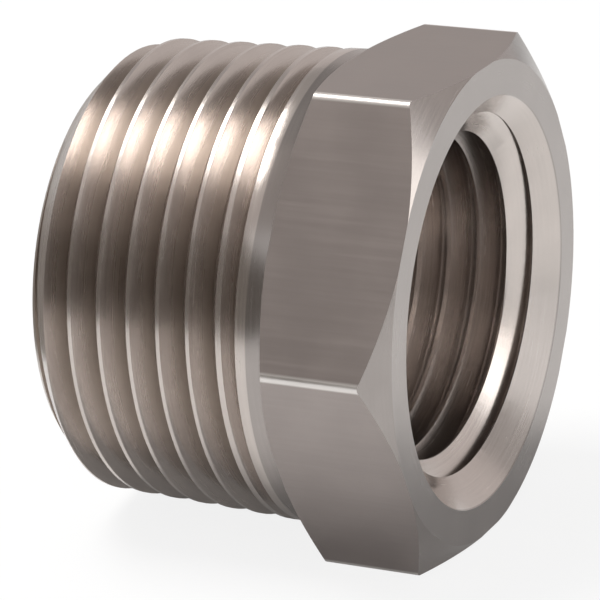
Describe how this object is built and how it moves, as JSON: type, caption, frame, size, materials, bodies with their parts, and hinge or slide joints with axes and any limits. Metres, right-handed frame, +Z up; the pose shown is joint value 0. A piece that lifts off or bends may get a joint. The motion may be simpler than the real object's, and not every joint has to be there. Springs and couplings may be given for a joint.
{
  "type": "hex bushing",
  "caption": "Stainless steel hex reducing bushing with a taper pipe thread outside, a smaller taper pipe thread inside and a short chamfered hexagon head.",
  "frame": {"origin": "on the common axis of the two threads, in the plane of the hex face where the female mouth opens", "axes": "+X along the axis out of the female mouth, so the male thread points toward -X; +Z up, square to a hex flat, with a flat facing straight down; +Y toward a hexagon corner"},
  "size_m": [0.0224, 0.031, 0.027],
  "materials": {
    "stainless": "machined satin, ring-turned tool marks"
  },
  "bodies": {
    "root": {"hex_bushing": "stainless"}
  },
  "joints": []
}
